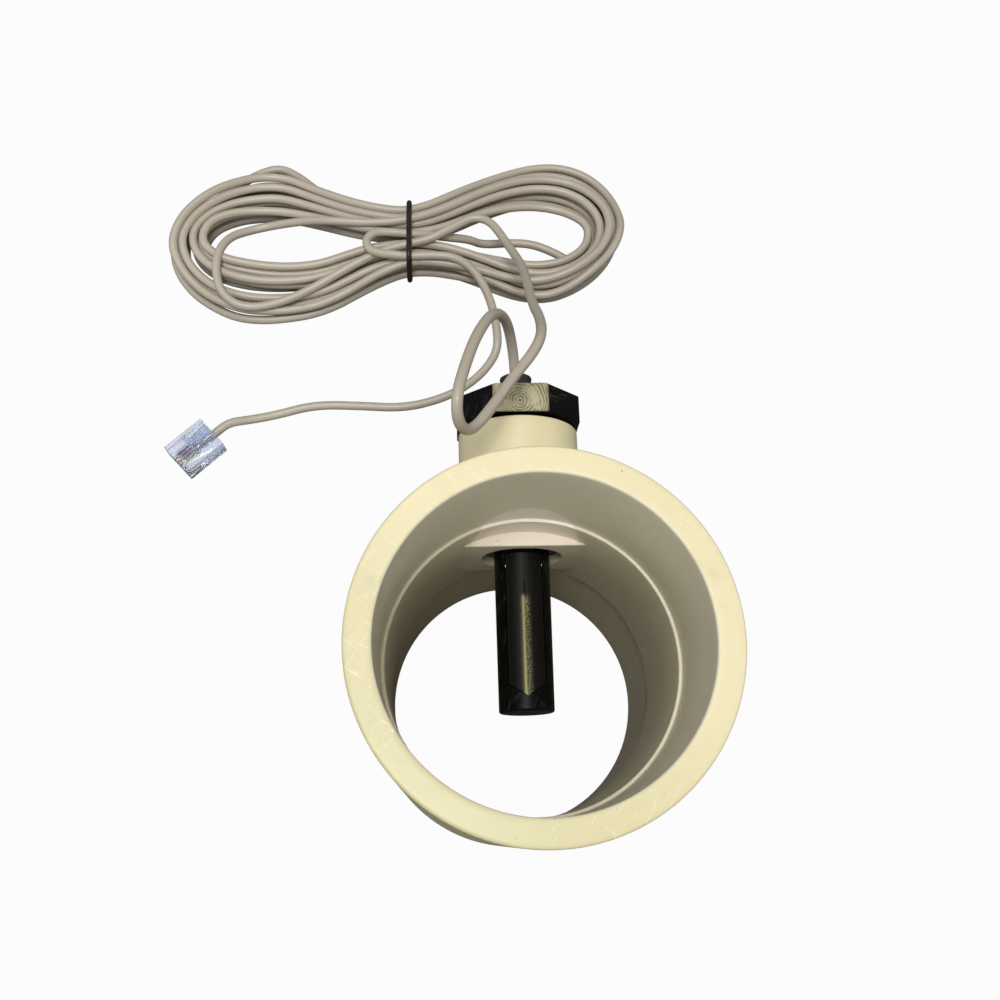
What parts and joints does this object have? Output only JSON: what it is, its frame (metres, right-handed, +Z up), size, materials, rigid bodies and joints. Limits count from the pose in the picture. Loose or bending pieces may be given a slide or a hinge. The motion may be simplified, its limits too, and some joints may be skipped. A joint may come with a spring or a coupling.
{
  "type": "flow switch",
  "caption": "Paddle flow switch in a 2 inch socket tee, with a sprung flap on a black probe, a tied grey data lead and a clear modular plug.",
  "frame": {"origin": "centre of the tee's lower end, on the pipe axis", "axes": "+Z up the pipe axis, +Y along the branch towards the octagon head, +X to the right of them"},
  "size_m": [0.1343, 0.1965, 0.1],
  "materials": {
    "cream_pvc": "moulded PVC, satin",
    "black_nylon": "moulded black plastic, slightly worn",
    "stainless": "ground pin",
    "black_flap": "moulded black plastic, satin",
    "magnet": "bare ferrite",
    "black_resin": "cast resin",
    "spring_steel": "rolled strip",
    "reed_glass": "clear green glass",
    "reed_metal": "plated nickel iron",
    "wire_red": "wire insulation",
    "wire_yellow": "wire insulation",
    "wire_green": "wire insulation",
    "wire_black": "wire insulation",
    "black_sleeve": "soft black sleeve",
    "grey_jacket": "smooth grey cable jacket",
    "black_band": "thin black band",
    "clear_plastic": "clear moulded plastic",
    "gold_contact": "gold plate"
  },
  "bodies": {
    "housing": {"tee_body": "cream_pvc", "switch_body": "black_nylon", "hinge_pin": "stainless", "return_spring": "spring_steel", "reed_capsule": "reed_glass", "reed_blade_near": "reed_metal", "reed_blade_far": "reed_metal", "reed_wire_near": "wire_red", "reed_wire_far": "wire_yellow", "cable_bush": "black_sleeve", "head_potting": "black_resin", "cable_lead": "grey_jacket", "cable_coil": "grey_jacket", "coil_tie": "black_band", "cable_tail": "grey_jacket", "plug_shell": "clear_plastic", "plug_contacts": "gold_contact", "plug_wire_black": "wire_black", "plug_wire_red": "wire_red", "plug_wire_green": "wire_green", "plug_wire_yellow": "wire_yellow"},
    "paddle_arm": {"paddle": "black_flap", "paddle_magnet": "magnet", "magnet_cover": "black_resin"}
  },
  "joints": [
    {"name": "paddle_swing", "type": "hinge", "parent": "housing", "child": "paddle_arm", "pos_m": [0, 0.024, 0.0532], "axis": [1, 0, 0], "range_deg": [0, 4.2], "stiffness_Nm_per_rad": 0.004, "springref_deg": -5.73, "deforming": ["return_spring"]}
  ]
}
